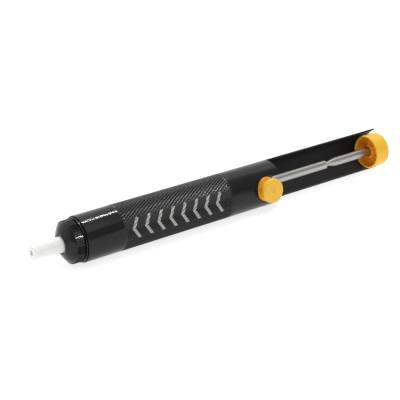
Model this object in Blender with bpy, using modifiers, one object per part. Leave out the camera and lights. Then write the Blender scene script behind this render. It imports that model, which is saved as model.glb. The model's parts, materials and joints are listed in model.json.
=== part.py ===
"""Spring-driven desoldering pump: black metal tube with a guard trough, white nozzle, side release
button, latched plunger with thumb knob, and the working parts inside.

Metres, +Z up. The pump lies on the bench along X with its nozzle towards -X, its thumb knob towards
+X and its release button towards -Y. Stations along the tube are distances on the tube's axis from
the middle of the pump's length, and every turned piece hangs from one empty on that axis.
"""

import math

import bmesh
import bpy
from mathutils import Matrix, Vector

# ---------------------------------------------------------------- driving dimensions
TUBE_R = 0.0102          # outer radius of the barrel tube
TUBE_WALL = 0.0008
OVERALL_L = 0.1942       # nozzle tip to the end of the guard trough
GAP = 0.0003             # working gap between neighbouring pieces

BORE_R = TUBE_R - TUBE_WALL
FRONT_X = -OVERALL_L / 2          # nozzle tip
REAR_X = OVERALL_L / 2            # end of the guard trough

# nose
SEAT_X = FRONT_X + 0.0134         # where the nozzle leaves the cap
CAP_BACK_X = SEAT_X + 0.0076      # cap's rear shoulder, where the tube begins
NOZZLE_TIP_R = 0.0031
NOZZLE_SEAT_R = 0.0035
NOZZLE_BORE_R = 0.0011
SPIGOT_R = BORE_R - 0.0004
CAP_R = 0.0097                    # lip at the cap's rear; the serrated ring is a little smaller
RING_R = 0.0094
CAP_LIP_L = 0.0026                # thickness of the cap's front wall, before its cavity
SERRATIONS = 48
SERRATION_DEPTH = 0.0004
NOZZLE_HOLE_R = NOZZLE_SEAT_R + 0.0004
NOSE_RING_MAJOR = 0.0084
NOSE_RING_MINOR = 0.0006
SEAL_MAJOR = 0.0050
SEAL_MINOR = 0.00055
FLANGE_L = 0.0018
SEAT_WASHER_T = 0.0008
SPIGOT_BACK_X = CAP_BACK_X + 0.0095
CAVITY_R = 0.0062

# barrel
GRIP_FRONT_X = CAP_BACK_X + 0.0179
GRIP_BACK_X = CAP_BACK_X + 0.0750
GRIP_R = TUBE_R - 0.0003          # the knurl stands on this cylinder
CUT_X = CAP_BACK_X + 0.1027       # where the tube opens into the guard trough
TROUGH_DEPTH = 0.0026             # the trough's lips lie this far behind the axis
TUBE_SEGMENTS = 40

# release button and latch
BUTTON_X = CAP_BACK_X + 0.0943
BUTTON_OUT = 0.0145               # front of the button from the tube's axis
BUTTON_FACE_R = 0.0056
BUTTON_FACE_T = 0.0017
BUTTON_BASE_R = 0.0055
BUTTON_BASE_TOP = 0.0092          # outer end of the button's base from the tube's axis
BUTTON_NECK_R = 0.0038
BUTTON_TRAVEL = 0.0012
LATCH_T = 0.0015
LATCH_HALF_W = 0.0036
LATCH_TOP = 0.0085                # end of the latch plate in the button
LATCH_BOTTOM = 0.0038             # its other end, beyond the shaft
BUTTON_BASE_IN = 0.0064           # inner end of the button's base from the tube's axis
BUTTON_PIN_R = 0.0005
BUTTON_PIN_Y = 0.0074
SPRING_POCKET_Y = 0.0080
BUTTON_SPRING_R = 0.0018
BUTTON_SPRING_WIRE_R = 0.0002

# plunger
SHAFT_R = 0.0021
SHAFT_NECK_R = 0.0009
SHAFT_HOLE_R = SHAFT_R + GAP
SHOULDER_X = CAP_BACK_X + 0.1373  # latch shoulder of the shaft, plunger out
STROKE = SHOULDER_X - (BUTTON_X - LATCH_T / 2)
KNOB_R = 0.0082
KNOB_L = 0.0085
KNOB_BACK_X = REAR_X - 0.0004
KNOB_X = KNOB_BACK_X - KNOB_L
KNOB_RIBS = 6
BLOCK_FRONT_X = BUTTON_X - 0.0105
BLOCK_BACK_X = CUT_X - 0.0015
BLOCK_R = BORE_R - GAP
BUSH_R = 0.0036
BUSH_L = 0.0048
SCREW_R = 0.0012
SCREW_ANGLE = math.radians(35)    # either side of straight away from the button
SCREW_INNER = 0.0055
SCREW_X = BLOCK_FRONT_X + 0.0036
BUFFER_T = 0.0012
PISTON_BACK_X = BLOCK_FRONT_X - BUFFER_T - 2 * GAP
PISTON_L = 0.0100
PISTON_R = BORE_R - GAP
PISTON_FRONT_X = PISTON_BACK_X - PISTON_L
PISTON_RING_MAJOR = 0.0084
PISTON_RING_MINOR = 0.00065
THREAD_R = 0.0015
WASHER_T = 0.0005
NUT_T = 0.0024
NUT_FLATS = 0.0055
PIN_R = 0.0007
PIN_SOCKET_L = 0.0050
SPRING_WIRE_R = 0.00045
SPRING_MEAN_R = 0.0070
SPRING_TURNS = 13

# The pump's box is centred on the origin in plan, and the tube rests on z = 0.
AXIS_Y = (BUTTON_OUT - TUBE_R) / 2
AXIS_Z = TUBE_R

SEGMENTS = 64
MERGE = 0.00001

COLLECTION = "desoldering_pump"
CUTTERS = "cutters"

FINISHES = {  # colour, roughness, metallic
    "black_anodised_aluminium": ((0.022, 0.022, 0.025), 0.38, 1.0),
    "black_anodised_cap": ((0.026, 0.026, 0.028), 0.42, 1.0),
    "white_ptfe": ((0.86, 0.86, 0.84), 0.45, 0.0),
    "yellow_plastic": ((0.90, 0.46, 0.02), 0.35, 0.0),
    "bright_steel": ((0.62, 0.61, 0.58), 0.28, 1.0),
    "spring_steel": ((0.45, 0.45, 0.46), 0.30, 1.0),
    "black_rubber": ((0.02, 0.02, 0.02), 0.75, 0.0),
    "natural_acetal": ((0.75, 0.74, 0.70), 0.45, 0.0),
    "black_acetal": ((0.03, 0.03, 0.03), 0.45, 0.0),
    "brass": ((0.70, 0.50, 0.20), 0.30, 1.0),
}


# ---------------------------------------------------------------- scene and materials
def clear_scene():
    for obj in list(bpy.data.objects):
        bpy.data.objects.remove(obj, do_unlink=True)


def make_collection(name):
    group = bpy.data.collections.new(name)
    bpy.context.scene.collection.children.link(group)
    return group


def finish(name, slot):
    """A Principled material of one of the named finishes, one for each sub-part."""
    colour, roughness, metallic = FINISHES[slot]
    material = bpy.data.materials.new(name + "_" + slot)
    material.use_nodes = True
    shader = material.node_tree.nodes["Principled BSDF"]
    shader.inputs["Base Color"].default_value = (*colour, 1.0)
    shader.inputs["Roughness"].default_value = roughness
    shader.inputs["Metallic"].default_value = metallic
    material.diffuse_color = (*colour, 1.0)
    return material


def place(obj, parent, station, slot):
    """Hang a sub-part from its parent at a station along the tube's axis."""
    obj.parent = parent
    obj.location = (0, 0, station)
    obj.data.materials.clear()
    obj.data.materials.append(finish(obj.name, slot))
    return obj


def move_to(obj, group):
    for old in list(obj.users_collection):
        old.objects.unlink(obj)
    group.objects.link(obj)


# ---------------------------------------------------------------- modelling helpers
def turned(name, profile, parts, closed=False, segments=SEGMENTS):
    """A lathe-turned piece round local Z. The profile lists (radius, height) points."""
    mesh = bpy.data.meshes.new(name)
    rim = bmesh.new()
    points = [rim.verts.new((radius, 0, height)) for radius, height in profile]
    for first, second in zip(points, points[1:]):
        rim.edges.new((first, second))
    if closed:
        rim.edges.new((points[-1], points[0]))
    rim.to_mesh(mesh)
    rim.free()
    obj = bpy.data.objects.new(name, mesh)
    parts.objects.link(obj)
    screw = obj.modifiers.new("Turn", "SCREW")
    screw.axis = "Z"
    screw.steps = segments
    screw.render_steps = segments
    screw.use_merge_vertices = True
    screw.merge_threshold = MERGE
    screw.use_smooth_shade = True
    return obj


def arc(centre, radius, start, end, steps):
    """Points (radius, height) on an arc of the profile, angles in degrees from outward."""
    radial, height = centre
    turns = [math.radians(start + (end - start) * i / steps) for i in range(steps + 1)]
    return [(radial + radius * math.cos(t), height + radius * math.sin(t)) for t in turns]


def ring_of(outer, inner, bottom, top):
    """Profile of a plain ring, from the top of its outer side round to its bore."""
    return [(outer, top), (outer, bottom), (inner, bottom), (inner, top)]


def o_ring(name, major, minor, parts):
    bpy.ops.mesh.primitive_torus_add(
        major_radius=major, minor_radius=minor, major_segments=36, minor_segments=8
    )
    obj = bpy.context.active_object
    obj.name = name
    obj.data.name = name
    move_to(obj, parts)
    for face in obj.data.polygons:
        face.use_smooth = True
    return obj


def block(name, low, high, group):
    """A box between two corners, in its parent's axes."""
    mesh = bpy.data.meshes.new(name)
    solid = bmesh.new()
    low, high = Vector(low), Vector(high)
    size = high - low
    bmesh.ops.create_cube(
        solid, size=1.0, matrix=Matrix.Translation((low + high) / 2) @ Matrix.Diagonal((*size, 1.0))
    )
    solid.to_mesh(mesh)
    solid.free()
    obj = bpy.data.objects.new(name, mesh)
    group.objects.link(obj)
    return obj


def rod(name, radius, start, end, group, segments=48):
    """A plain cylinder between two points, in its parent's axes."""
    start, end = Vector(start), Vector(end)
    reach = end - start
    turn = reach.to_track_quat("Z", "Y").to_matrix().to_4x4()
    mesh = bpy.data.meshes.new(name)
    solid = bmesh.new()
    bmesh.ops.create_cone(
        solid, cap_ends=True, segments=segments, radius1=radius, radius2=radius,
        depth=reach.length, matrix=Matrix.Translation((start + end) / 2) @ turn,
    )
    solid.to_mesh(mesh)
    solid.free()
    obj = bpy.data.objects.new(name, mesh)
    group.objects.link(obj)
    return obj


def cut(obj, cutter, operation="DIFFERENCE"):
    """Boolean a cutter into a sub-part; the cutter shares the sub-part's parent and axes."""
    cutter.parent = obj.parent
    cutter.hide_render = True
    cutter.display_type = "WIRE"
    boolean = obj.modifiers.new(cutter.name, "BOOLEAN")
    boolean.operation = operation
    boolean.solver = "EXACT"
    boolean.object = cutter
    return obj


def coil(name, mean_r, wire_r, length, turns, parts, end_turns=1.0, per_turn=16):
    """A round-wire compression spring along local Z from 0 to its length, with closed end turns."""
    rise = length - 2 * wire_r
    curve = bpy.data.curves.new(name, "CURVE")
    curve.dimensions = "3D"
    curve.bevel_depth = wire_r
    curve.bevel_resolution = 2
    curve.use_fill_caps = True
    line = curve.splines.new("POLY")
    count = round(turns * per_turn)
    line.points.add(count)
    closed_rise = 2 * wire_r * end_turns * 1.08
    open_turns = turns - 2 * end_turns
    for i, point in enumerate(line.points):
        turn = i / per_turn
        if turn < end_turns:
            height = closed_rise * turn / end_turns
        elif turn < turns - end_turns:
            height = closed_rise + (rise - 2 * closed_rise) * (turn - end_turns) / open_turns
        else:
            height = rise - closed_rise * (turns - turn) / end_turns
        angle = 2 * math.pi * turn
        point.co = (mean_r * math.cos(angle), mean_r * math.sin(angle), wire_r + height, 1.0)
    obj = bpy.data.objects.new(name, curve)
    parts.objects.link(obj)
    return obj


def curve_to_mesh(obj, parts):
    """Replace a filled curve by a welded mesh of the same name, place and parent."""
    bpy.context.view_layer.update()
    name, parent, place_at = obj.name, obj.parent, obj.matrix_world.copy()
    shape = bpy.data.meshes.new_from_object(obj.evaluated_get(bpy.context.evaluated_depsgraph_get()))
    bpy.data.objects.remove(obj, do_unlink=True)
    solid = bmesh.new()
    solid.from_mesh(shape)
    bmesh.ops.remove_doubles(solid, verts=solid.verts, dist=MERGE)
    bmesh.ops.recalc_face_normals(solid, faces=solid.faces)
    solid.to_mesh(shape)
    solid.free()
    shape.name = name
    mesh_obj = bpy.data.objects.new(name, shape)
    parts.objects.link(mesh_obj)
    mesh_obj.parent = parent
    mesh_obj.matrix_world = place_at
    return mesh_obj


def outline(curve, points):
    """One closed straight-sided loop of a flat shape."""
    loop = curve.splines.new("POLY")
    loop.points.add(len(points) - 1)
    for target, (x, y) in zip(loop.points, points):
        target.co = (x, y, 0.0, 1.0)
    loop.use_cyclic_u = True


# ---------------------------------------------------------------- barrel body
def barrel_tube(axis, parts, cutters):
    """Tube, grip and guard in one. A flat of its faceted round, not a corner, lies on the bench."""
    front = CAP_BACK_X + GAP
    profile = [
        (TUBE_R, REAR_X - front),
        (TUBE_R, GRIP_BACK_X - front),
        (GRIP_R, GRIP_BACK_X - front),
        (GRIP_R, GRIP_FRONT_X - front),
        (TUBE_R, GRIP_FRONT_X - front),
        (TUBE_R, 0.0003),
        (TUBE_R - 0.0003, 0),
        (BORE_R, 0),
        (BORE_R, REAR_X - front),
    ]
    half_step = math.pi / TUBE_SEGMENTS
    profile = [(radius / math.cos(half_step), height) for radius, height in profile]
    tube = turned("barrel_tube", profile, parts, closed=True, segments=TUBE_SEGMENTS)
    place(tube, axis, front, "black_anodised_aluminium")
    tube.rotation_euler = (0, 0, half_step)
    reach = TUBE_R + 0.002
    trough = block(
        "trough_cutter", (-reach, -reach, CUT_X), (reach, TROUGH_DEPTH, REAR_X + 0.002), cutters
    )
    cut(tube, trough)
    hole_r = BUTTON_BASE_R + GAP
    cut(tube, rod("button_hole_cutter", hole_r, (0, -reach, BUTTON_X), (0, -0.005, BUTTON_X), cutters))
    cut(tube, block(
        "button_notch_cutter", (-hole_r, -reach, BUTTON_X), (hole_r, -0.005, CUT_X + 0.001), cutters
    ))
    for side, name in ((1, "upper"), (-1, "lower")):
        start, end = screw_line(side, 0.0070, TUBE_R + 0.002)
        cut(tube, rod(f"tube_screw_hole_{name}", SCREW_R + GAP, start, end, cutters, segments=32))
    return tube


def screw_line(side, inner, outer):
    """Start and end of a radial line at a retaining screw, on the side away from the button."""
    across, along = -side * math.sin(SCREW_ANGLE), math.cos(SCREW_ANGLE)
    return [(across * r, along * r, SCREW_X) for r in (inner, outer)]


def block_screws(axis, parts, cutters):
    """Grub screws that hold the latch block in the tube, with hexagon sockets."""
    for side, name in ((1, "upper"), (-1, "lower")):
        start, end = screw_line(side, SCREW_INNER, TUBE_R - 0.0002)
        screw = rod(f"block_screw_{name}", SCREW_R, start, end, parts, segments=32)
        place(screw, axis, 0, "spring_steel")
        start, end = screw_line(side, TUBE_R - 0.0017, TUBE_R + 0.001)
        cut(screw, rod(f"screw_socket_{name}", 0.0007, start, end, cutters, segments=6))


def nose_cap(axis, parts, cutters):
    """Screwed nose: spigot with O-ring groove, serrated ring, hollow cone down to the nozzle."""
    front = SEAT_X - CAP_BACK_X
    spigot_end = SPIGOT_BACK_X - CAP_BACK_X
    groove, groove_half = 0.0035, 0.00095
    groove_r = NOSE_RING_MAJOR - NOSE_RING_MINOR - GAP
    root_r = RING_R - SERRATION_DEPTH - 0.0001
    profile = [
        (0, spigot_end),
        (SPIGOT_R - 0.0004, spigot_end),
        (SPIGOT_R, spigot_end - 0.0004),
        (SPIGOT_R, groove + groove_half),
        (groove_r, groove + groove_half),
        (groove_r, groove - groove_half),
        (SPIGOT_R, groove - groove_half),
        (SPIGOT_R, 0),
        (CAP_R - 0.0001, 0),
        (CAP_R, -0.0001),
        (CAP_R, -0.0006),
        (root_r, -0.0008),
        *arc((root_r - 0.0022, -0.0038), 0.0022, 0, -48, 5),
        (0.0068, -0.0065),
        (0.0050, front + 0.0003),
        (0.0047, front),
        (0, front),
    ]
    cap = turned("nose_cap", profile, parts)
    place(cap, axis, CAP_BACK_X, "black_anodised_cap")
    cut(cap, serrated_ring(cutters), "UNION")
    hollow = turned("nose_bore_cutter", [
        (0, spigot_end + 0.001),
        (CAVITY_R, spigot_end + 0.001),
        (CAVITY_R, front + CAP_LIP_L),
        (NOZZLE_HOLE_R, front + CAP_LIP_L),
        (NOZZLE_HOLE_R, front - 0.001),
        (0, front - 0.001),
    ], cutters)
    hollow.location = (0, 0, CAP_BACK_X)
    return cut(cap, hollow)


def serrated_ring(cutters):
    """Disc of straight axial teeth that is joined to the nose cap."""
    mesh = bpy.data.meshes.new("serration_ring")
    solid = bmesh.new()
    teeth = bmesh.ops.create_circle(solid, cap_ends=True, segments=2 * SERRATIONS, radius=RING_R)
    for i, vert in enumerate(teeth["verts"]):
        if i % 2:
            vert.co *= (RING_R - SERRATION_DEPTH) / RING_R
    swept = bmesh.ops.extrude_face_region(solid, geom=list(solid.faces))
    raised = [item for item in swept["geom"] if isinstance(item, bmesh.types.BMVert)]
    bmesh.ops.translate(solid, verts=raised, vec=(0, 0, 0.0036))
    bmesh.ops.recalc_face_normals(solid, faces=solid.faces)
    solid.to_mesh(mesh)
    solid.free()
    ring = bpy.data.objects.new("serration_ring", mesh)
    cutters.objects.link(ring)
    ring.location = (0, 0, CAP_BACK_X - 0.0046)
    return ring


def nozzle(axis, parts):
    """Tapered tip with a flange that sits behind the seal ring inside the cap."""
    seat = SEAT_X - FRONT_X
    flange = seat + CAP_LIP_L + 2 * SEAL_MINOR + 2 * GAP
    tail = flange + FLANGE_L + 0.0020
    body_r = NOZZLE_SEAT_R + 0.0001
    profile = [
        (body_r, tail),
        (body_r, flange + FLANGE_L),
        (CAVITY_R - GAP, flange + FLANGE_L),
        (CAVITY_R - GAP, flange),
        (body_r, flange),
        (body_r, seat + 0.0002),
        (NOZZLE_SEAT_R, seat),
        (NOZZLE_TIP_R, 0.0003),
        (NOZZLE_TIP_R - 0.0003, 0),
        (NOZZLE_BORE_R, 0),
        (NOZZLE_BORE_R, flange),
        (NOZZLE_BORE_R + 0.0011, tail),
    ]
    return place(turned("nozzle", profile, parts, closed=True, segments=40), axis, FRONT_X, "white_ptfe")


def nose_seals(axis, parts, cutters):
    """Seal ring, retaining ring, cap O-ring and the spring's seat washer."""
    cavity = SEAT_X + CAP_LIP_L
    seal = o_ring("nozzle_seal_ring", SEAL_MAJOR, SEAL_MINOR, parts)
    place(seal, axis, cavity + GAP + SEAL_MINOR, "black_rubber")

    ring_x = cavity + 3 * GAP + 2 * SEAL_MINOR + FLANGE_L
    ring_l = 0.0030
    profile = ring_of(CAVITY_R - GAP, NOZZLE_SEAT_R + 0.0006, 0, ring_l)
    retainer = turned("nozzle_retaining_ring", profile, parts, closed=True, segments=40)
    place(retainer, axis, ring_x, "brass")
    slot = block(
        "driver_slot", (-CAVITY_R, -0.0005, ring_x + ring_l - 0.0008),
        (CAVITY_R, 0.0005, ring_x + ring_l + 0.001), cutters,
    )
    cut(retainer, slot)

    cap_ring = o_ring("nose_cap_o_ring", NOSE_RING_MAJOR, NOSE_RING_MINOR, parts)
    place(cap_ring, axis, CAP_BACK_X + 0.0035, "black_rubber")

    profile = ring_of(SPIGOT_R, 0.0050, 0, SEAT_WASHER_T)
    washer = turned("spring_seat_washer", profile, parts, closed=True)
    place(washer, axis, SPIGOT_BACK_X + GAP, "bright_steel")


def latch_block(axis, parts, cutters):
    """Rear plug of the tube: guides the shaft, and holds latch plate, button and their spring."""
    length = BLOCK_BACK_X - BLOCK_FRONT_X
    chamfer = 0.0004
    profile = [
        (BLOCK_R - chamfer, length),
        (BLOCK_R, length - chamfer),
        (BLOCK_R, chamfer),
        (BLOCK_R - chamfer, 0),
        (SHAFT_HOLE_R, 0),
        (SHAFT_HOLE_R, length - BUSH_L - GAP),
        (BUSH_R + GAP, length - BUSH_L - GAP),
        (BUSH_R + GAP, length),
    ]
    plug = turned("latch_block", profile, parts, closed=True)
    place(plug, axis, BLOCK_FRONT_X, "black_acetal")
    half_t = LATCH_T / 2 + GAP
    half_w = LATCH_HALF_W + GAP
    slot_end = LATCH_BOTTOM + BUTTON_TRAVEL + GAP
    cut(plug, block(
        "latch_slot", (-half_w, -TUBE_R, BUTTON_X - half_t), (half_w, slot_end, BUTTON_X + half_t), cutters
    ))
    floor = BUTTON_BASE_IN - BUTTON_TRAVEL - GAP
    pocket_r = BUTTON_BASE_R + GAP
    cut(plug, rod("button_pocket", pocket_r, (0, -TUBE_R, BUTTON_X), (0, -floor, BUTTON_X), cutters))
    cut(plug, block(
        "button_pocket_rear", (-pocket_r, -TUBE_R, BUTTON_X), (pocket_r, -floor, CUT_X), cutters
    ))
    spring_r = BUTTON_SPRING_R + BUTTON_SPRING_WIRE_R + GAP
    cut(plug, rod(
        "spring_pocket", spring_r, (0, LATCH_BOTTOM, BUTTON_X), (0, SPRING_POCKET_Y, BUTTON_X), cutters,
        segments=32,
    ))
    for side, name in ((1, "upper"), (-1, "lower")):
        start, end = screw_line(side, SCREW_INNER - GAP, TUBE_R)
        cut(plug, rod(f"block_screw_hole_{name}", SCREW_R + GAP, start, end, cutters, segments=32))
    return plug


def guide_bush(axis, parts):
    profile = ring_of(BUSH_R, SHAFT_HOLE_R, 0, BUSH_L)
    bush = turned("guide_bush", profile, parts, closed=True, segments=40)
    return place(bush, axis, BLOCK_BACK_X - BUSH_L, "brass")


def buffer_ring(axis, parts):
    profile = ring_of(BORE_R - 0.0006, SHAFT_HOLE_R + 0.0006, 0, BUFFER_T)
    ring = turned("buffer_ring", profile, parts, closed=True)
    return place(ring, axis, BLOCK_FRONT_X - GAP - BUFFER_T, "black_rubber")


def main_spring(axis, parts):
    start = SPIGOT_BACK_X + 2 * GAP + SEAT_WASHER_T
    length = PISTON_FRONT_X - GAP - start
    spring = coil("main_spring", SPRING_MEAN_R, SPRING_WIRE_R, length, SPRING_TURNS, parts)
    place(spring, axis, start, "spring_steel")
    return curve_to_mesh(spring, parts)


# ---------------------------------------------------------------- plunger body
def plunger_shaft(axis, parts, cutters):
    """Ground rod with a threaded front end and a latch groove: sharp shoulder, neck, long taper."""
    thread_end = PISTON_FRONT_X - GAP - WASHER_T - GAP - NUT_T - 0.0012 - SHOULDER_X
    step = PISTON_BACK_X + GAP - SHOULDER_X
    rear = KNOB_BACK_X - 0.0025 - SHOULDER_X
    profile = [
        (0, rear),
        (SHAFT_R - 0.0003, rear),
        (SHAFT_R, rear - 0.0003),
        (SHAFT_R, 0.0060),
        (SHAFT_NECK_R, 0.0009),
        (SHAFT_NECK_R, 0),
        (SHAFT_R - 0.0001, 0),
        (SHAFT_R, -0.0001),
        (SHAFT_R, step),
        (THREAD_R, step),
        (THREAD_R, thread_end),
        (0, thread_end),
    ]
    shaft = turned("plunger_shaft", profile, parts, segments=40)
    place(shaft, axis, SHOULDER_X, "bright_steel")
    front = thread_end + SHOULDER_X
    socket = rod(
        "pin_socket", PIN_R + GAP, (0, 0, front - 0.001), (0, 0, front + PIN_SOCKET_L), cutters, segments=24
    )
    return cut(shaft, socket)


def cleaning_pin(axis, parts):
    """Thin rod that clears the nozzle's bore when the pump is cocked."""
    front = FRONT_X + GAP + STROKE
    back = PISTON_FRONT_X - 2 * GAP - WASHER_T - NUT_T - 0.0012 + PIN_SOCKET_L - GAP
    profile = [
        (0, back - front),
        (PIN_R, back - front),
        (PIN_R, 0.0006),
        (PIN_R - 0.0003, 0),
        (0, 0),
    ]
    return place(turned("cleaning_pin", profile, parts, segments=24), axis, front, "spring_steel")


def piston(axis, parts):
    """Piston with a groove for its O-ring."""
    middle = PISTON_L / 2
    half = PISTON_RING_MINOR + GAP
    groove_r = PISTON_RING_MAJOR - PISTON_RING_MINOR - GAP
    profile = [
        (PISTON_R - 0.0004, PISTON_L),
        (PISTON_R, PISTON_L - 0.0004),
        (PISTON_R, middle + half),
        (groove_r, middle + half),
        (groove_r, middle - half),
        (PISTON_R, middle - half),
        (PISTON_R, 0.0004),
        (PISTON_R - 0.0004, 0),
        (THREAD_R + GAP, 0),
        (THREAD_R + GAP, PISTON_L),
    ]
    body = turned("piston", profile, parts, closed=True)
    place(body, axis, PISTON_FRONT_X, "natural_acetal")
    ring = o_ring("piston_o_ring", PISTON_RING_MAJOR, PISTON_RING_MINOR, parts)
    place(ring, axis, PISTON_FRONT_X + middle, "black_rubber")


def piston_nut(axis, parts, cutters):
    washer_x = PISTON_FRONT_X - GAP - WASHER_T
    profile = ring_of(0.0035, THREAD_R + GAP, 0, WASHER_T)
    washer = turned("piston_washer", profile, parts, closed=True, segments=40)
    place(washer, axis, washer_x, "bright_steel")
    nut_x = washer_x - GAP - NUT_T
    corner_r = NUT_FLATS / 2 / math.cos(math.radians(30))
    nut = rod("piston_nut", corner_r, (0, 0, nut_x), (0, 0, nut_x + NUT_T), parts, segments=6)
    place(nut, axis, 0, "bright_steel")
    cut(nut, rod(
        "nut_bore", THREAD_R + GAP, (0, 0, nut_x - 0.001), (0, 0, nut_x + NUT_T + 0.001), cutters, segments=32
    ))


def knob(axis, parts, cutters):
    """Shallow thumb cup, open towards the nozzle, with a low hub and ribs between hub and wall."""
    floor, wall_r, hub_r = KNOB_L - 0.0028, KNOB_R - 0.0009, 0.0033
    rear_round = 0.0012
    profile = [
        (0, KNOB_L),
        *reversed(arc((KNOB_R - rear_round, KNOB_L - rear_round), rear_round, 0, 90, 5)),
        (KNOB_R, 0.0004),
        (KNOB_R - 0.0003, 0),
        (wall_r + 0.0003, 0),
        (wall_r, 0.0003),
        (wall_r, KNOB_L - floor),
        (hub_r, KNOB_L - floor),
        (hub_r, 0.0018),
        (hub_r - 0.0004, 0.0014),
        (0, 0.0014),
    ]
    cup = turned("thumb_knob", profile, parts)
    place(cup, axis, KNOB_X, "yellow_plastic")
    rib_t, rib_front = 0.0008, KNOB_X + 0.0020
    for i in range(KNOB_RIBS // 2):
        rib = block(
            f"knob_rib_{i}", (-wall_r - 0.0004, -rib_t / 2, rib_front),
            (wall_r + 0.0004, rib_t / 2, KNOB_BACK_X - floor + 0.0005), cutters,
        )
        rib.rotation_euler = (0, 0, math.pi * i / (KNOB_RIBS // 2))
        cut(cup, rib, "UNION")
    hole_end = KNOB_BACK_X - 0.0025 + GAP
    cut(cup, rod("knob_bore", SHAFT_HOLE_R, (0, 0, KNOB_X - 0.001), (0, 0, hole_end), cutters))
    return cup


# ---------------------------------------------------------------- button body
def release_button(pivot, parts, cutters):
    """Spool-shaped push button. Local Z runs out of the tube along the button's travel."""
    profile = [
        (0, BUTTON_OUT - 0.0004),
        (0.0007, BUTTON_OUT - 0.0004),
        (0.0010, BUTTON_OUT),
        *reversed(arc((BUTTON_FACE_R - 0.0009, BUTTON_OUT - 0.0009), 0.0009, 0, 90, 5)),
        (BUTTON_FACE_R, BUTTON_OUT - BUTTON_FACE_T + 0.0002),
        (BUTTON_FACE_R - 0.0002, BUTTON_OUT - BUTTON_FACE_T),
        (BUTTON_NECK_R, BUTTON_OUT - BUTTON_FACE_T),
        (BUTTON_NECK_R, BUTTON_BASE_TOP),
        (BUTTON_BASE_R - 0.0003, BUTTON_BASE_TOP),
        (BUTTON_BASE_R, BUTTON_BASE_TOP - 0.0003),
        (BUTTON_BASE_R, BUTTON_BASE_IN),
        (0, BUTTON_BASE_IN),
    ]
    button = turned("release_button", profile, parts, segments=64)
    place(button, pivot, 0, "yellow_plastic")
    half_t, half_w = LATCH_T / 2 + GAP, LATCH_HALF_W + GAP
    slot = block(
        "button_slot", (-half_t, -half_w, BUTTON_BASE_IN - 0.001), (half_t, half_w, LATCH_TOP + GAP), cutters
    )
    cut(button, slot)
    hole = rod(
        "button_pin_hole", BUTTON_PIN_R + GAP, (-TUBE_R, 0, BUTTON_PIN_Y), (TUBE_R, 0, BUTTON_PIN_Y), cutters,
        segments=16,
    )
    return cut(button, hole)


def latch_plate(pivot, parts):
    """Steel plate with an oval hole round the shaft, whose far edge drops into the latch groove."""
    curve = bpy.data.curves.new("latch_plate", "CURVE")
    curve.dimensions = "2D"
    curve.fill_mode = "BOTH"
    curve.extrude = LATCH_T / 2
    corner = 0.0006
    edges = []
    for x, y, start in (
        (LATCH_HALF_W, LATCH_TOP, 0), (-LATCH_HALF_W, LATCH_TOP, 90),
        (-LATCH_HALF_W, -LATCH_BOTTOM, 180), (LATCH_HALF_W, -LATCH_BOTTOM, 270),
    ):
        inset = (x - math.copysign(corner, x), y - math.copysign(corner, y))
        edges += arc(inset, corner, start, start + 90, 3)
    outline(curve, edges)
    far = (0, 0)
    near = (0, BUTTON_TRAVEL)
    outline(curve, arc(near, SHAFT_HOLE_R, 0, 180, 16) + arc(far, SHAFT_HOLE_R, 180, 360, 16))
    outline(curve, arc((0, BUTTON_PIN_Y), BUTTON_PIN_R + GAP, 0, 337.5, 15))
    plate = bpy.data.objects.new("latch_plate", curve)
    parts.objects.link(plate)
    place(plate, pivot, 0, "bright_steel")
    plate.rotation_euler = (math.radians(90), 0, math.radians(90))
    return curve_to_mesh(plate, parts)


def button_pin(pivot, parts):
    half_l = 0.0040
    pin = rod("button_pin", BUTTON_PIN_R, (-half_l, 0, BUTTON_PIN_Y), (half_l, 0, BUTTON_PIN_Y), parts, 16)
    return place(pin, pivot, 0, "bright_steel")


def button_spring(pivot, parts):
    """Return spring between the latch plate's far end and the floor of its pocket."""
    start = LATCH_BOTTOM + GAP
    length = SPRING_POCKET_Y - GAP - start
    spring = coil(
        "button_spring", BUTTON_SPRING_R, BUTTON_SPRING_WIRE_R, length, 4, parts, end_turns=0.75, per_turn=12
    )
    place(spring, pivot, -SPRING_POCKET_Y + GAP, "spring_steel")
    return curve_to_mesh(spring, parts)


def build():
    clear_scene()
    parts = make_collection(COLLECTION)
    cutters = make_collection(CUTTERS)

    axis = bpy.data.objects.new("tube_axis", None)
    parts.objects.link(axis)
    axis.location = (0, AXIS_Y, AXIS_Z)
    axis.rotation_euler = (0, math.radians(90), 0)

    pivot = bpy.data.objects.new("button_axis", None)
    parts.objects.link(pivot)
    pivot.location = (BUTTON_X, AXIS_Y, AXIS_Z)
    pivot.rotation_euler = (math.radians(90), 0, 0)
    bpy.context.view_layer.update()

    barrel_tube(axis, parts, cutters)
    nose_cap(axis, parts, cutters)
    nozzle(axis, parts)
    nose_seals(axis, parts, cutters)
    main_spring(axis, parts)
    buffer_ring(axis, parts)
    latch_block(axis, parts, cutters)
    block_screws(axis, parts, cutters)
    guide_bush(axis, parts)

    plunger_shaft(axis, parts, cutters)
    cleaning_pin(axis, parts)
    piston(axis, parts)
    piston_nut(axis, parts, cutters)
    knob(axis, parts, cutters)

    release_button(pivot, parts, cutters)
    latch_plate(pivot, parts)
    button_pin(pivot, parts)
    button_spring(pivot, parts)


build()
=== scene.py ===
import json
import math

import bmesh
import bpy
from mathutils import Matrix, Vector


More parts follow.
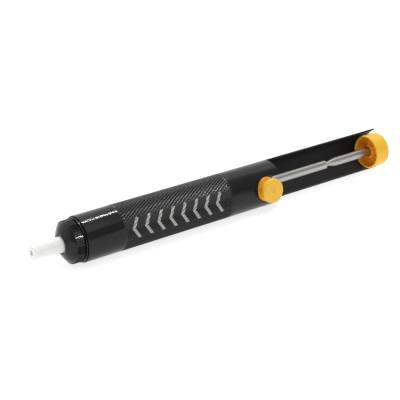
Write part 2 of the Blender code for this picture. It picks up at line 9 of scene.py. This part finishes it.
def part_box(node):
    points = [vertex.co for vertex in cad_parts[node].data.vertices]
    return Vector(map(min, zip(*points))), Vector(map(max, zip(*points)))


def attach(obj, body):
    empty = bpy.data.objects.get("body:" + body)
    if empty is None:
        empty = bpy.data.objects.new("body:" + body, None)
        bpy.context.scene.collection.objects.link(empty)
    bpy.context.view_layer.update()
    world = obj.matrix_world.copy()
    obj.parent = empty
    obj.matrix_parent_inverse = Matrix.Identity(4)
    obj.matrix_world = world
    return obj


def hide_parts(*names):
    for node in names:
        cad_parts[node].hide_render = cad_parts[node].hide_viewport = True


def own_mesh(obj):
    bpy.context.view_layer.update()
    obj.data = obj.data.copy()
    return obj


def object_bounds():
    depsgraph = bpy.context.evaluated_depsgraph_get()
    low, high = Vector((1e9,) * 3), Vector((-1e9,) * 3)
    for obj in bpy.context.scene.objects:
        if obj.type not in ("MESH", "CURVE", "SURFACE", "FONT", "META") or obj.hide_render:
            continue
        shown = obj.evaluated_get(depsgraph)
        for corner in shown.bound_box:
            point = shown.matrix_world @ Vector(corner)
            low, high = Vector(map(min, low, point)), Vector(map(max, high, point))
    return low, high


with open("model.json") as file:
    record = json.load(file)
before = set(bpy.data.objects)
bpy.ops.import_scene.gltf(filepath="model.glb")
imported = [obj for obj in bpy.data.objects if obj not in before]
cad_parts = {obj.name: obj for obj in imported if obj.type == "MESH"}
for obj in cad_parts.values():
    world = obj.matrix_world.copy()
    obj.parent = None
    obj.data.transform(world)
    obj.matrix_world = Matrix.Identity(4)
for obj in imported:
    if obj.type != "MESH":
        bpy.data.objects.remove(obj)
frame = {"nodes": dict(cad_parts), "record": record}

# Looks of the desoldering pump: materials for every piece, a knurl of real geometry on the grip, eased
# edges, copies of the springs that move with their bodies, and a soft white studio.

MM = 0.001
MM_PER_METRE = 1000.0
NODES = frame["nodes"]
START_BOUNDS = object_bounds()

# ---------------------------------------------------------------- places taken from the frame
TUBE_LOW, TUBE_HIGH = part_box("barrel_tube")
NOZZLE_LOW, NOZZLE_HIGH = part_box("nozzle")
BUTTON_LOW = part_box("release_button")[0]
KNOB_LOW, KNOB_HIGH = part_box("thumb_knob")
AXIS_Y = (NOZZLE_LOW.y + NOZZLE_HIGH.y) / 2
AXIS_Z = (NOZZLE_LOW.z + NOZZLE_HIGH.z) / 2
TUBE_R = (TUBE_HIGH.z - TUBE_LOW.z) / 2
FLOOR_Z = START_BOUNDS[0].z
CUT_X = TUBE_LOW.x + 102.4 * MM  # where the tube opens into the guard trough
# the next four bound the painted shade in the yellow plastic: the knob's cup and the groove behind the
# button's disc
KNOB_WALL_R = (KNOB_HIGH.z - KNOB_LOW.z) / 2 - 0.9 * MM  # inside of the knob's wall
KNOB_FLOOR_X = KNOB_LOW.x + 2.8 * MM  # floor of the knob's cup
BUTTON_DISC_BACK = AXIS_Y - BUTTON_LOW.y - 1.7 * MM  # back of the button's front disc, from the axis
BUTTON_END_X = (40 * MM, 50 * MM)  # the button lies in front of these and the knob behind them

# grip, measured from the tube's front edge
GRIP_FRONT_X = TUBE_LOW.x + 17.6 * MM
GRIP_BACK_X = TUBE_LOW.x + 74.7 * MM
KNURL_PITCH = 1.34 * MM  # from point to point, round the tube
KNURL_ANGLE = math.radians(30)  # between the grooves and the tube's axis
KNURL_CREST_R = TUBE_R + 0.05 * MM
KNURL_DEPTH = 0.28 * MM
KNURL_ROOT_R = KNURL_CREST_R - KNURL_DEPTH
KNURL_END_R = TUBE_R - 0.02 * MM  # at the sleeve's two ends, just under the tube's surface
KNURL_LINING = 0.1 * MM  # thickness of the sleeve under its valleys
KNURL_RIDGE = 0.8  # how far the ridges of the deeper helix rise between the diamonds' points

# printed mark on the grip: chevrons that point to the nozzle
MARK_X = (-54.6 * MM, -5.6 * MM)
MARK_HALF_H = 4.6 * MM
MARK_RISE = 0.7 * MM  # arc by which the mark's middle lies above the button's side
CHEVRON_PITCH = 6.2 * MM
CHEVRON_W = 1.6 * MM
CHEVRON_SLOPE = 0.62  # how far a chevron leans back for each unit of height
INK_EDGE = 0.1 * MM  # width over which the print fades at its border

# rounds on the pieces' sharp edges, in mm
EASED_EDGES = {
    "barrel_tube": 0.10, "nose_cap": 0.06, "thumb_knob": 0.12, "release_button": 0.12,
    "plunger_shaft": 0.05, "nozzle": 0.08,
}
EDGE_SEGMENTS = 3
SHARP_TURN = math.radians(35)
WELD_DISTANCE = 0.002 * MM
LARGE_FACE_WEIGHT = 90

FLOOR_SIZE = 12.0
FLOOR_GAP = 0.1 * MM  # keeps the floor off the faces that rest on it


# ---------------------------------------------------------------- node helpers
class Graph:
    """A material's node tree, with short calls for the nodes used here."""

    def __init__(self, name):
        self.material = bpy.data.materials.new(name)
        self.material.use_nodes = True
        self.tree = self.material.node_tree
        self.shader = self.tree.nodes["Principled BSDF"]

    def put(self, socket, value):
        if isinstance(value, bpy.types.NodeSocket):
            self.tree.links.new(value, socket)
        elif isinstance(value, tuple) and socket.type == "RGBA" and len(value) == 3:
            socket.default_value = (*value, 1.0)
        else:
            socket.default_value = value

    def node(self, kind, inputs=(), **settings):
        made = self.tree.nodes.new(kind)
        for key, value in settings.items():
            setattr(made, key, value)
        for key, value in dict(inputs).items():
            self.put(made.inputs[key], value)
        return made

    def maths(self, operation, first, second=0.0, third=0.0):
        inputs = {0: first, 1: second, 2: third}
        return self.node("ShaderNodeMath", inputs, operation=operation).outputs[0]

    def place(self):
        """Position in the row frame at rest."""
        return self.node("ShaderNodeTexCoord").outputs["Object"]

    def split(self, vector):
        return self.node("ShaderNodeSeparateXYZ", {0: vector}).outputs

    def join(self, x, y, z):
        return self.node("ShaderNodeCombineXYZ", {0: x, 1: y, 2: z}).outputs[0]

    def scaled(self, vector, scale):
        inputs = {0: vector, 1: scale}
        return self.node("ShaderNodeVectorMath", inputs, operation="MULTIPLY").outputs[0]

    def noise(self, vector, scale, detail=4.0, rough=0.55):
        inputs = {"Vector": vector, "Scale": scale, "Detail": detail, "Roughness": rough}
        return self.node("ShaderNodeTexNoise", inputs).outputs["Fac"]

    def smooth(self, value, low, high, to_low=0.0, to_high=1.0):
        inputs = {0: value, 1: low, 2: high, 3: to_low, 4: to_high}
        made = self.node("ShaderNodeMapRange", inputs, interpolation_type="SMOOTHSTEP")
        return made.outputs[0]

    def mix(self, factor, first, second):
        made = self.node("ShaderNodeMix", data_type="RGBA")
        self.put(made.inputs[0], factor)
        self.put(made.inputs[6], first)
        self.put(made.inputs[7], second)
        return made.outputs[2]

    def bump(self, height, distance, strength=1.0, normal=None):
        inputs = {"Height": height, "Distance": distance, "Strength": strength}
        made = self.node("ShaderNodeBump", inputs)
        if normal is not None:
            self.put(made.inputs["Normal"], normal)
        return made.outputs[0]

    def set(self, **values):
        for name, value in values.items():
            self.put(self.shader.inputs[name.replace("_", " ")], value)
        return self.material

    def round_axis(self):
        """Along, arc length from the button's side, and radius, all round the tube's axis in metres."""
        x, y, z = self.split(self.place())
        across = self.maths("SUBTRACT", AXIS_Y, y)
        up = self.maths("SUBTRACT", z, AXIS_Z)
        angle = self.maths("ARCTAN2", up, across)
        squares = self.maths("MULTIPLY_ADD", across, across, self.maths("MULTIPLY", up, up))
        radius = self.maths("SQRT", squares)
        return x, self.maths("MULTIPLY", angle, TUBE_R), radius

    def turning_marks(self, along, radius, per_mm=9.0):
        """Fine rings left by the lathe, seen on sides and on end faces alike."""
        along_mm = self.maths("MULTIPLY", along, MM_PER_METRE)
        radius_mm = self.maths("MULTIPLY", radius, MM_PER_METRE)
        return self.noise(self.join(along_mm, radius_mm, 0.0), per_mm, detail=3.0, rough=0.7)

    def in_mm(self):
        """Position in the row frame at rest, in millimetres."""
        return self.scaled(self.place(), (MM_PER_METRE, MM_PER_METRE, MM_PER_METRE))

    def drawn_lines(self, along, around, per_metre, across_per_metre):
        """Long thin streaks along the tube's axis."""
        x = self.maths("MULTIPLY", along, per_metre)
        y = self.maths("MULTIPLY", around, across_per_metre)
        return self.noise(self.join(x, y, 0.0), 1.0)


# ---------------------------------------------------------------- materials
def anodised(name, crest=None):
    """Black anodised aluminium: dark oxide over fine turning marks, with faint handling wear."""
    g = Graph(name)
    along, around, radius = g.round_axis()
    mm = g.in_mm()
    cloud = g.noise(mm, 0.22, detail=3.0)
    fine = g.noise(mm, 6.0, detail=2.0)
    rings = g.turning_marks(along, radius)
    scratch = g.smooth(g.drawn_lines(along, around, 160.0, 5000.0), 0.69, 0.74)
    colour = g.mix(cloud, (0.0036, 0.0036, 0.0040), (0.0066, 0.0066, 0.0072))
    colour = g.mix(g.maths("MULTIPLY", scratch, 0.35), colour, (0.035, 0.035, 0.036))
    rough = g.maths("MULTIPLY_ADD", cloud, 0.07, 0.09)
    rough = g.maths("MULTIPLY_ADD", fine, 0.04, rough)
    rough = g.maths("ADD", rough, g.smooth(along, GRIP_BACK_X - 1 * MM, GRIP_BACK_X, 0.0, 0.10))
    normal = g.bump(rings, 0.003 * MM, 0.20)
    normal = g.bump(fine, 0.002 * MM, 0.2, normal)
    if crest is not None:
        low, high = crest
        top = g.smooth(radius, low, high)
        worn = g.maths("MULTIPLY", top, g.smooth(g.noise(mm, 0.9), 0.42, 0.72))
        colour = g.mix(g.maths("MULTIPLY", worn, 0.30), colour, (0.06, 0.06, 0.062))
        rough = g.maths("ADD", rough, 0.07)
        colour = printed_mark(g, colour, along, around, top, mm)
    inside = g.smooth(radius, TUBE_R - 0.6 * MM, TUBE_R - 0.4 * MM, 1.0, 0.0)
    inside = g.maths("MULTIPLY", inside, g.smooth(along, CUT_X - 0.1 * MM, CUT_X))
    # Painted light: inside the trough the colour grows lighter towards the bottom of the inner wall, as if
    # lit there.
    height = g.split(g.place())[2]
    painted_light_below = g.smooth(height, AXIS_Z - 9 * MM, AXIS_Z - 1 * MM, 1.0, 0.0)
    shade = g.mix(cloud, (0.009, 0.009, 0.0095), (0.013, 0.013, 0.0135))
    shade = g.mix(painted_light_below, shade, (0.062, 0.062, 0.063))
    colour = g.mix(inside, colour, shade)
    rough = g.maths("MULTIPLY_ADD", inside, 0.26, rough)
    gloss = g.maths("MULTIPLY_ADD", inside, -0.20, 0.5)
    return g.set(Base_Color=colour, Roughness=rough, Normal=normal, IOR=1.38, Specular_IOR_Level=gloss)


def printed_mark(g, colour, along, around, top, mm):
    """Light grey chevrons in ink that sits on the knurl's crests and thins out in its valleys."""
    side = g.maths("ABSOLUTE", g.maths("SUBTRACT", around, MARK_RISE))
    lean = g.maths("MULTIPLY_ADD", side, -CHEVRON_SLOPE, g.maths("SUBTRACT", along, MARK_X[0]))
    phase = g.maths("FRACT", g.maths("DIVIDE", lean, CHEVRON_PITCH))
    soft = 0.012  # share of the pitch over which a chevron's edge fades
    share = CHEVRON_W / CHEVRON_PITCH
    length = MARK_X[1] - MARK_X[0]
    stripe = g.maths("MULTIPLY", g.smooth(phase, 0.0, soft), g.smooth(phase, share - soft, share, 1.0, 0.0))
    within = g.smooth(side, MARK_HALF_H - INK_EDGE, MARK_HALF_H, 1.0, 0.0)
    started = g.smooth(lean, 0.0, INK_EDGE)
    ended = g.smooth(lean, length - INK_EDGE, length, 1.0, 0.0)
    ink = g.maths("MULTIPLY", g.maths("MULTIPLY", stripe, within), g.maths("MULTIPLY", started, ended))
    cover = g.maths("MULTIPLY_ADD", top, 0.55, 0.40)
    patchy = g.smooth(g.noise(mm, 2.2), 0.25, 0.5, 0.75, 1.0)
    shown = g.maths("MULTIPLY", ink, g.maths("MULTIPLY", cover, patchy))
    return g.mix(shown, colour, (0.62, 0.61, 0.58))


def ptfe(name):
    """White PTFE: waxy, slightly see-through, with very fine turning rings."""
    g = Graph(name)
    along, _, radius = g.round_axis()
    mm = g.in_mm()
    cloud = g.noise(mm, 0.5)
    rings = g.turning_marks(along, radius, 5.0)
    colour = g.mix(cloud, (0.87, 0.87, 0.855), (0.93, 0.93, 0.92))
    rough = g.maths("MULTIPLY_ADD", cloud, 0.12, 0.36)
    normal = g.bump(rings, 0.006 * MM, 0.4)
    g.shader.subsurface_method = "RANDOM_WALK"
    return g.set(
        Base_Color=colour, Roughness=rough, Normal=normal, IOR=1.35,
        Subsurface_Weight=0.6, Subsurface_Scale=0.8 * MM, Subsurface_Radius=(1.0, 1.0, 0.95),
    )


def yellow(name):
    """Glossy moulded plastic, warm yellow, with painted shade: deeper orange in the knob's cup and the
    button's groove.
    """
    g = Graph(name)
    mm = g.in_mm()
    cloud = g.noise(mm, 0.35)
    grain = g.noise(mm, 9.0, detail=2.0)
    colour = g.mix(cloud, (0.87, 0.49, 0.022), (0.93, 0.56, 0.034))
    along, _, radius = g.round_axis()
    out = g.maths("SUBTRACT", AXIS_Y, g.split(g.place())[1])
    # Painted shade: the knob's cup and the groove behind the button's front disc get a deeper orange, the
    # colour the yellow takes in shade.
    in_cup = g.smooth(radius, KNOB_WALL_R - 0.1 * MM, KNOB_WALL_R + 0.1 * MM, 1.0, 0.0)
    above_floor = g.smooth(along, KNOB_FLOOR_X, KNOB_FLOOR_X + 0.3 * MM, 1.0, 0.0)
    in_cup = g.maths("MULTIPLY", in_cup, above_floor)
    in_cup = g.maths("MULTIPLY", in_cup, g.smooth(along, KNOB_LOW.x - 1 * MM, KNOB_LOW.x - 0.5 * MM))
    behind = g.smooth(out, BUTTON_DISC_BACK - 0.2 * MM, BUTTON_DISC_BACK, 1.0, 0.0)
    behind = g.maths("MULTIPLY", behind, g.smooth(along, *BUTTON_END_X, 1.0, 0.0))
    painted_shade = g.maths("MAXIMUM", in_cup, g.maths("MULTIPLY", behind, 0.38))
    colour = g.mix(painted_shade, colour, g.mix(cloud, (0.90, 0.30, 0.008), (0.94, 0.38, 0.014)))
    rough = g.maths("MULTIPLY_ADD", cloud, 0.10, 0.26)
    rough = g.maths("MULTIPLY_ADD", grain, 0.06, rough)
    normal = g.bump(grain, 0.005 * MM, 0.35)
    g.shader.subsurface_method = "RANDOM_WALK"
    return g.set(
        Base_Color=colour, Roughness=rough, Normal=normal, IOR=1.49,
        Subsurface_Weight=0.25, Subsurface_Scale=0.8 * MM, Subsurface_Radius=(1.0, 0.5, 0.12),
    )


def ground_steel(name, tint=(0.50, 0.485, 0.465), base_rough=0.24):
    """Ground steel: metal with grinding rings and long faint draw lines."""
    g = Graph(name)
    along, around, radius = g.round_axis()
    mm = g.in_mm()
    rings = g.turning_marks(along, radius, 14.0)
    cloud = g.noise(mm, 0.4)
    lines = g.drawn_lines(along, around, 90.0, 9000.0)
    dark = tuple(part * 0.80 for part in tint)
    colour = g.mix(g.maths("MULTIPLY", rings, 0.8), dark, tint)
    rough = g.maths("MULTIPLY_ADD", cloud, 0.10, base_rough)
    rough = g.maths("MULTIPLY_ADD", lines, 0.08, rough)
    normal = g.bump(rings, 0.003 * MM, 0.35)
    return g.set(Base_Color=colour, Metallic=1.0, Roughness=rough, Normal=normal)


def rubber(name):
    """Black rubber of the seals: dull, with a fine grain."""
    g = Graph(name)
    mm = g.in_mm()
    grain = g.noise(mm, 12.0, detail=3.0)
    cloud = g.noise(mm, 0.8)
    colour = g.mix(cloud, (0.012, 0.012, 0.012), (0.024, 0.024, 0.023))
    rough = g.maths("MULTIPLY_ADD", cloud, 0.15, 0.62)
    return g.set(Base_Color=colour, Roughness=rough, Normal=g.bump(grain, 0.01 * MM, 0.4))


def acetal(name, first, second):
    """Machined plastic with turning marks."""
    g = Graph(name)
    along, _, radius = g.round_axis()
    mm = g.in_mm()
    cloud = g.noise(mm, 0.5)
    rings = g.turning_marks(along, radius, 6.0)
    rough = g.maths("MULTIPLY_ADD", rings, 0.15, 0.36)
    normal = g.bump(rings, 0.008 * MM, 0.45)
    return g.set(Base_Color=g.mix(cloud, first, second), Roughness=rough, Normal=normal)


def paint_nodes():
    """Give every CAD piece its material."""
    finishes = {
        "black_anodised_aluminium": anodised("black_anodised"),
        "white_ptfe": ptfe("white_ptfe"),
        "yellow_plastic": yellow("yellow_plastic"),
        "bright_steel": ground_steel("bright_steel"),
        "spring_steel": ground_steel("spring_steel", (0.40, 0.40, 0.41), 0.24),
        "brass": ground_steel("brass", (0.78, 0.56, 0.24), 0.22),
        "black_rubber": rubber("black_rubber"),
        "natural_acetal": acetal("natural_acetal", (0.66, 0.65, 0.60), (0.74, 0.73, 0.69)),
        "black_acetal": acetal("black_acetal", (0.010, 0.010, 0.010), (0.018, 0.018, 0.018)),
    }
    for part in frame["record"]["subparts"]:
        obj = NODES[part["node"]]
        obj.data.materials.clear()
        obj.data.materials.append(finishes[part["material_slot"]])


# ---------------------------------------------------------------- geometry
def smooth_by_angle(limit):
    """Node group that shades faces smooth across every edge that turns by less than the limit."""
    group = bpy.data.node_groups.new("smooth_by_angle", "GeometryNodeTree")
    group.interface.new_socket("Geometry", in_out="INPUT", socket_type="NodeSocketGeometry")
    group.interface.new_socket("Geometry", in_out="OUTPUT", socket_type="NodeSocketGeometry")
    start = group.nodes.new("NodeGroupInput")
    plain = group.nodes.new("GeometryNodeRemoveAttribute")
    plain.inputs["Name"].default_value = "custom_normal"
    faces = group.nodes.new("GeometryNodeSetShadeSmooth")
    faces.domain = "FACE"
    turn = group.nodes.new("GeometryNodeInputMeshEdgeAngle")
    sharp = group.nodes.new("FunctionNodeCompare")
    sharp.operation = "GREATER_THAN"
    sharp.inputs["B"].default_value = limit
    edges = group.nodes.new("GeometryNodeSetShadeSmooth")
    edges.domain = "EDGE"
    edges.inputs["Shade Smooth"].default_value = False
    end = group.nodes.new("NodeGroupOutput")
    link = group.links.new
    link(start.outputs["Geometry"], plain.inputs["Geometry"])
    link(plain.outputs["Geometry"], faces.inputs["Geometry"])
    link(faces.outputs["Geometry"], edges.inputs["Geometry"])
    link(turn.outputs["Unsigned Angle"], sharp.inputs["A"])
    link(sharp.outputs["Result"], edges.inputs["Selection"])
    link(edges.outputs["Geometry"], end.inputs["Geometry"])
    return group


def refine(obj, smoothing, width=0.0):
    """Join a piece's triangles, ease its sharp edges so they catch the light, and shade it smooth."""
    weld = obj.modifiers.new("Joined", "WELD")
    weld.merge_threshold = WELD_DISTANCE
    if width:
        bevel = obj.modifiers.new("Eased edges", "BEVEL")
        bevel.width = width
        bevel.segments = EDGE_SEGMENTS
        bevel.limit_method = "ANGLE"
        bevel.angle_limit = SHARP_TURN
    obj.modifiers.new("Smooth", "NODES").node_group = smoothing
    large = obj.modifiers.new("Large faces lead", "WEIGHTED_NORMAL")
    large.mode = "FACE_AREA"
    large.weight = LARGE_FACE_WEIGHT
    large.keep_sharp = True


def pressed_spring(node, body, smoothing):
    """Copy of a CAD spring that moves with its body, in place of the hidden original."""
    spring = bpy.data.objects.new(node + "_coil", NODES[node].data.copy())
    bpy.context.scene.collection.objects.link(spring)
    spring.matrix_world = NODES[node].matrix_world.copy()
    refine(spring, smoothing)
    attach(spring, body)
    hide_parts(node)
    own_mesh(spring)


def on_axis(x, radius, angle):
    """A point round the tube's axis; angle 0 faces the button's side and rises with z."""
    return Vector((x, AXIS_Y - radius * math.cos(angle), AXIS_Z + radius * math.sin(angle)))


def knurl_points(solid, rows, columns):
    """Rings of points along the grip, high and low by turns, with plain rings at its two ends."""
    rings = []
    for row in range(rows + 1):
        x = GRIP_FRONT_X + (GRIP_BACK_X - GRIP_FRONT_X) * row / rows
        ring = []
        for column in range(columns):
            radius = KNURL_CREST_R if (row + column) % 2 == 0 else KNURL_ROOT_R
            if row in (0, rows):
                radius = KNURL_END_R
            ring.append(solid.verts.new(on_axis(x, radius, 2 * math.pi * column / columns)))
        rings.append(ring)
    return rings


def knurl_patches(solid, rings):
    """Faces between the rings. Every other patch rises in its middle, and so joins two high points."""
    rows, columns = len(rings) - 1, len(rings[0])
    for row in range(rows):
        for column in range(columns):
            after = (column + 1) % columns
            a, b = rings[row][column], rings[row][after]
            d, c = rings[row + 1][column], rings[row + 1][after]
            if (row + column) % 2 == 1:
                triangles = ((a, b, c), (a, c, d))
            elif 0 < row < rows - 1:
                x = GRIP_FRONT_X + (GRIP_BACK_X - GRIP_FRONT_X) * (row + 0.5) / rows
                angle = 2 * math.pi * (column + 0.5) / columns
                ridge = solid.verts.new(on_axis(x, KNURL_ROOT_R + KNURL_RIDGE * KNURL_DEPTH, angle))
                triangles = ((a, b, ridge), (b, c, ridge), (c, d, ridge), (d, a, ridge))
            else:
                triangles = ((a, b, d), (b, c, d))
            for triangle in triangles:
                solid.faces.new(triangle)


def knurl_lining(solid, rings):
    """Inner wall of the sleeve, and the flat rings that close its two ends."""
    columns = len(rings[0])
    radius = KNURL_ROOT_R - KNURL_LINING
    inner = []
    for x in (GRIP_FRONT_X, GRIP_BACK_X):
        ring = [on_axis(x, radius, 2 * math.pi * i / columns) for i in range(columns)]
        inner.append([solid.verts.new(point) for point in ring])
    for column in range(columns):
        after = (column + 1) % columns
        solid.faces.new((inner[0][column], inner[0][after], rings[0][after], rings[0][column]))
        solid.faces.new((rings[-1][column], rings[-1][after], inner[1][after], inner[1][column]))
        solid.faces.new((inner[1][column], inner[1][after], inner[0][after], inner[0][column]))


def knurled_grip():
    """Sleeve of four-sided diamonds, cut by crossing grooves of which one set is the deeper."""
    columns = 2 * round(2 * math.pi * TUBE_R / KNURL_PITCH)
    rows = 2 * round((GRIP_BACK_X - GRIP_FRONT_X) * math.tan(KNURL_ANGLE) / KNURL_PITCH)
    solid = bmesh.new()
    rings = knurl_points(solid, rows, columns)
    knurl_patches(solid, rings)
    knurl_lining(solid, rings)
    bmesh.ops.recalc_face_normals(solid, faces=solid.faces)
    mesh = bpy.data.meshes.new("grip_knurl")
    solid.to_mesh(mesh)
    solid.free()
    mesh.materials.append(anodised("knurled_anodised", (KNURL_ROOT_R, KNURL_CREST_R)))
    grip = bpy.data.objects.new("grip_knurl", mesh)
    bpy.context.scene.collection.objects.link(grip)
    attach(grip, "barrel")


# ---------------------------------------------------------------- camera, light and floor
def point_at(obj, target, roll=0.0):
    """Turn a camera or light to face a point, with a roll about its own axis in degrees."""
    back = (obj.location - target).normalized()
    right = Vector((0, 0, 1)).cross(back).normalized()
    up = back.cross(right)
    turned = Matrix((right, up, back)).transposed()
    obj.rotation_euler = (turned @ Matrix.Rotation(math.radians(roll), 3, "Z")).to_euler()


def make_camera():
    """From the nozzle's side, a little above, tool running up to the right."""
    azimuth, elevation, roll = math.radians(-33.55), math.radians(16.27), -6.26
    distance = 0.4995
    target = Vector((-0.0127, AXIS_Y - 0.0002, AXIS_Z + 0.0011))
    level = math.cos(elevation)
    back = Vector((math.sin(azimuth) * level, -math.cos(azimuth) * level, math.sin(elevation)))
    data = bpy.data.cameras.new("camera")
    data.sensor_width = 36.0
    data.lens = 100.8
    data.clip_start, data.clip_end = 0.01, 50.0
    camera = bpy.data.objects.new("camera", data)
    bpy.context.scene.collection.objects.link(camera)
    camera.location = target + back * distance
    point_at(camera, target, roll)
    bpy.context.scene.camera = camera


def area_light(name, place, target, size, power):
    """A white rectangular light that faces its target."""
    data = bpy.data.lights.new(name, "AREA")
    data.shape = "RECTANGLE"
    data.size, data.size_y = size
    data.energy = power
    lamp = bpy.data.objects.new(name, data)
    bpy.context.scene.collection.objects.link(lamp)
    lamp.location = place
    point_at(lamp, Vector(target))


def studio():
    """White floor that shows only a faint shadow, a pale room behind and a dimmer one in front."""
    middle = (0.0, AXIS_Y, AXIS_Z)
    bpy.ops.mesh.primitive_plane_add(size=FLOOR_SIZE, location=(0, 0, FLOOR_Z - FLOOR_GAP))
    floor = bpy.context.active_object
    floor.name = "floor"
    g = Graph("floor")
    cloud = g.noise(g.place(), 3.0)
    shade = g.mix(cloud, (0.34, 0.34, 0.34), (0.36, 0.36, 0.36))
    g.set(Base_Color=shade, Roughness=0.9, Emission_Color=(1.0, 1.0, 1.0), Emission_Strength=0.80)
    g.shader.inputs["Specular IOR Level"].default_value = 0.0
    floor.data.materials.append(g.material)

    area_light("key", (0.05, -0.50, 0.90), middle, (0.8, 0.9), 2.4)
    area_light("line", (0.245, 0.067, 0.62), middle, (0.008, 0.070), 0.52)
    area_light("overhead", (0.58, 0.08, 0.62), (0.06, 0.0, 0.01), (0.09, 0.20), 0.14)
    area_light("rake", (0.23, 0.16, 0.93), (0.23, AXIS_Y, AXIS_Z), (0.20, 0.62), 2.2)

    world = bpy.data.worlds.new("studio")
    bpy.context.scene.world = world
    world.use_nodes = True
    tree = world.node_tree
    coords = tree.nodes.new("ShaderNodeTexCoord")
    parts = tree.nodes.new("ShaderNodeSeparateXYZ")
    ramp = tree.nodes.new("ShaderNodeMapRange")
    ramp.interpolation_type = "SMOOTHSTEP"
    ramp.inputs["From Min"].default_value = -0.35
    ramp.inputs["From Max"].default_value = 0.45
    ramp.inputs["To Min"].default_value = 0.42
    ramp.inputs["To Max"].default_value = 1.0
    tree.links.new(coords.outputs["Generated"], parts.inputs[0])
    tree.links.new(parts.outputs["Y"], ramp.inputs["Value"])
    tree.links.new(ramp.outputs[0], tree.nodes["Background"].inputs["Strength"])
    tree.nodes["Background"].inputs["Color"].default_value = (1.0, 1.0, 1.0, 1.0)
    bpy.context.scene.view_settings.view_transform = "Standard"


make_camera()
paint_nodes()
SMOOTHING = smooth_by_angle(SHARP_TURN)
for node, piece in NODES.items():
    refine(piece, SMOOTHING, EASED_EDGES.get(node, 0.0) * MM)
pressed_spring("main_spring", "barrel", SMOOTHING)
pressed_spring("button_spring", "button", SMOOTHING)
knurled_grip()
studio()
